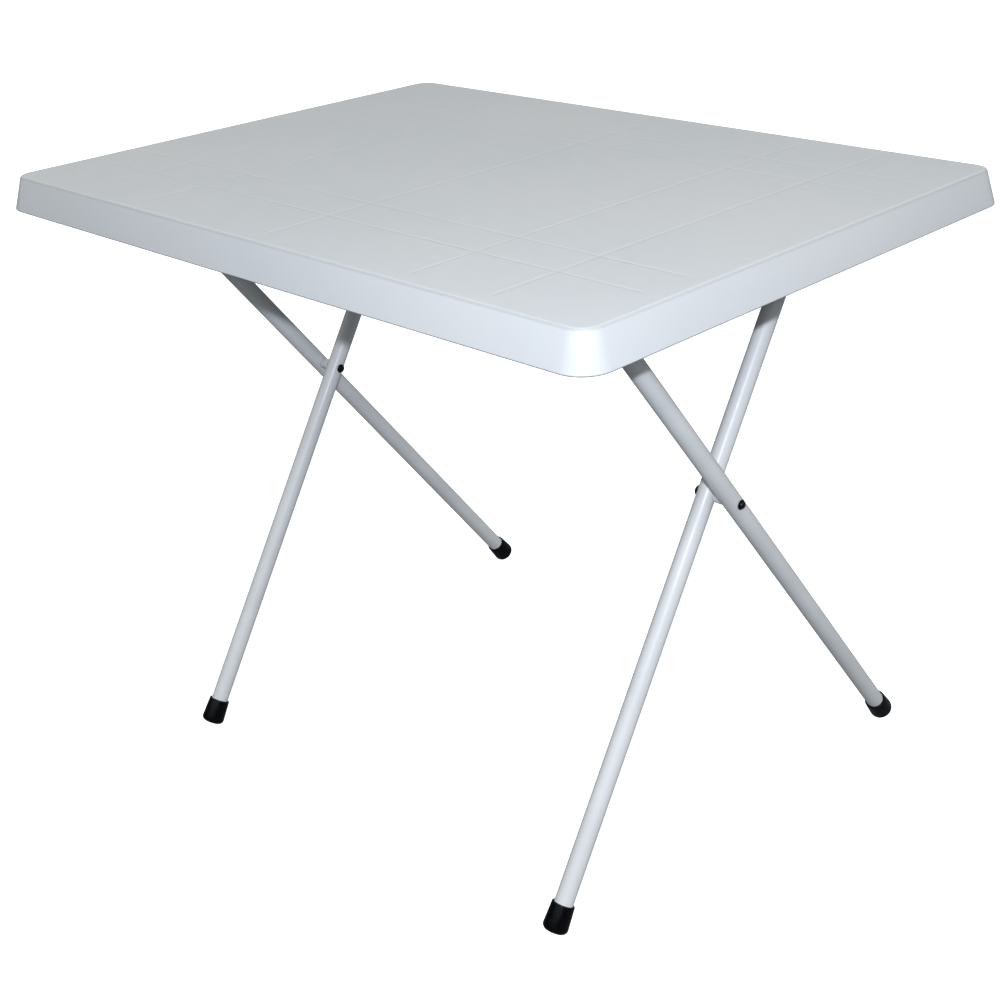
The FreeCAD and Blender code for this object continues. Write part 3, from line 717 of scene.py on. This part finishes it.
def white_paint():
    """White that glows a little, and can be looked through from behind."""
    made = Shader("white_paint", (0.95, 0.95, 0.95), 0.9, specular=0.2)
    made.rough(made.mottle(6, 2, 0.85, 0.95))
    made.shader.inputs["Emission Color"].default_value = (1, 1, 1, 1)
    made.shader.inputs["Emission Strength"].default_value = WHITE_GLOW
    side = made.tree.nodes.new("ShaderNodeNewGeometry")
    clear = made.tree.nodes.new("ShaderNodeBsdfTransparent")
    mix = made.tree.nodes.new("ShaderNodeMixShader")
    made.link(side.outputs["Backfacing"], mix.inputs["Fac"])
    made.link(made.shader.outputs["BSDF"], mix.inputs[1])
    made.link(clear.outputs["BSDF"], mix.inputs[2])
    made.link(mix.outputs["Shader"], made.tree.nodes["Material Output"].inputs["Surface"])
    return made.material


def make_stage(name, work, paint, shadow):
    """A staged mesh that lights nothing by bounce."""
    mesh = bpy.data.meshes.new(name)
    work.to_mesh(mesh)
    work.free()
    mesh.materials.append(paint)
    piece = bpy.data.objects.new(name, mesh)
    bpy.context.scene.collection.objects.link(piece)
    piece.visible_diffuse = False
    piece.visible_glossy = False
    piece.visible_shadow = shadow


def make_backdrop():
    """A white floor, and a white wall far behind it all round."""
    paint = white_paint()
    floor = bmesh.new()
    bmesh.ops.create_grid(floor, x_segments=FLOOR_CELLS, y_segments=FLOOR_CELLS, size=FLOOR_SIZE / 2)
    make_stage("floor", floor, paint, True)
    wall = bmesh.new()
    turns = [2 * math.pi * side / WALL_SIDES for side in range(WALL_SIDES)]
    places = [(WALL_RADIUS * math.cos(turn), WALL_RADIUS * math.sin(turn)) for turn in turns]
    low, high = [[wall.verts.new((x, y, height)) for x, y in places]
                 for height in (-WALL_HEIGHT, WALL_HEIGHT)]
    for index in range(WALL_SIDES):
        before = index - 1
        wall.faces.new((low[index], low[before], high[before], high[index]))
    make_stage("wall", wall, paint, False)


# Where the camera looks and from where: azimuth and elevation in degrees, roll in radians, a sideways
# and upward offset in metres, and the focal length and shift as a share of the view's width.
CAMERA_TARGET = Vector((0, 0, 0.325))
CAMERA_AZIMUTH = 45.362
CAMERA_ELEVATION = 23.788
CAMERA_ROLL = -0.046
CAMERA_DISTANCE = 1.68987
CAMERA_OFFSET = (-0.00071, 0.02146)
CAMERA_FOCAL = 1.58413
CAMERA_SHIFT = -0.05
CAMERA_NEAR = 0.05
SENSOR = 36


def camera_axes():
    """Right, up and back of the camera, with its roll."""
    azimuth, elevation = math.radians(CAMERA_AZIMUTH), math.radians(CAMERA_ELEVATION)
    back = Vector((math.sin(azimuth) * math.cos(elevation),
                   -math.cos(azimuth) * math.cos(elevation), math.sin(elevation)))
    right = Vector((-back.y, back.x, 0)).normalized()
    up = back.cross(right)
    return (right * math.cos(CAMERA_ROLL) + up * math.sin(CAMERA_ROLL),
            up * math.cos(CAMERA_ROLL) - right * math.sin(CAMERA_ROLL), back)


def make_camera():
    """The view from the near right corner, a little above the top."""
    right, up, back = camera_axes()
    data = bpy.data.cameras.new("camera")
    data.sensor_width = SENSOR
    data.lens = data.sensor_width * CAMERA_FOCAL
    data.shift_y = CAMERA_SHIFT
    data.clip_start = CAMERA_NEAR
    data.clip_end = FLOOR_SIZE
    camera = bpy.data.objects.new("camera", data)
    bpy.context.scene.collection.objects.link(camera)
    rotation = Matrix((right, up, back)).transposed()
    place = CAMERA_TARGET + back * CAMERA_DISTANCE + right * CAMERA_OFFSET[0] + up * CAMERA_OFFSET[1]
    camera.matrix_world = Matrix.Translation(place) @ rotation.to_4x4()
    bpy.context.scene.camera = camera


FLASH_DISTANCE = 1.7
FLASH_RISE = Vector((0, 0, 0.13))
FLASH_TARGET = Vector((0, 0, 0.55))
FLASH_SIZE = 0.03
FLASH_POWER = 19.5
FLASH_COLOUR = (0.85, 0.90, 1)


def make_flash():
    """A small lamp just above the camera."""
    data = bpy.data.lights.new("flash", "AREA")
    data.shape = "SQUARE"
    data.size = FLASH_SIZE
    data.energy = FLASH_POWER
    data.color = FLASH_COLOUR
    lamp = bpy.data.objects.new("flash", data)
    bpy.context.scene.collection.objects.link(lamp)
    lamp.location = CAMERA_TARGET + camera_axes()[2] * FLASH_DISTANCE + FLASH_RISE
    lamp.rotation_euler = (FLASH_TARGET - lamp.location).to_track_quat("-Z", "Y").to_euler()


# Stops of the sky's brightness, from straight down (0) to straight up (1), and its colour at each.
SKY = ((0.485, (0.205, 0.225, 0.24)), (0.515, (0.03, 0.03, 0.03)), (0.66, (0.22, 0.22, 0.22)),
       (0.73, (1.72, 1.80, 1.80)), (0.83, (1.72, 1.80, 1.80)), (0.88, (0.50, 0.50, 0.48)))
# How bright the sky is to the left and to the right, as a share, and the X between which it changes.
SKY_LEFT, SKY_RIGHT = 0.6, 0.97
SKY_CHANGE = (-0.6, 0.3)


def make_world():
    """A room with bright high walls, a dim floor and a dim ceiling, darker to the left."""
    world = bpy.data.worlds.new("world")
    world.use_nodes = True
    tree = world.node_tree
    background = tree.nodes["Background"]
    place = tree.nodes.new("ShaderNodeTexCoord")
    split = tree.nodes.new("ShaderNodeSeparateXYZ")
    ramp = tree.nodes.new("ShaderNodeValToRGB")
    stops = ramp.color_ramp.elements
    while len(stops) < len(SKY):
        stops.new(1)
    for stop, (position, colour) in zip(stops, SKY):
        stop.position = position
        stop.color = (*colour, 1)
    rise = tree.nodes.new("ShaderNodeMapRange")
    rise.inputs["From Min"].default_value = -1
    across = tree.nodes.new("ShaderNodeMapRange")
    for name, number in (("From Min", SKY_CHANGE[0]), ("From Max", SKY_CHANGE[1]),
                         ("To Min", SKY_LEFT), ("To Max", SKY_RIGHT)):
        across.inputs[name].default_value = number
    tree.links.new(place.outputs["Generated"], split.inputs["Vector"])
    tree.links.new(split.outputs["Z"], rise.inputs["Value"])
    tree.links.new(split.outputs["X"], across.inputs["Value"])
    tree.links.new(rise.outputs["Result"], ramp.inputs["Fac"])
    tree.links.new(ramp.outputs["Color"], background.inputs["Color"])
    tree.links.new(across.outputs["Result"], background.inputs["Strength"])
    bpy.context.scene.world = world


make_backdrop()
make_camera()
make_world()
make_flash()
bpy.context.scene.view_settings.view_transform = "Standard"
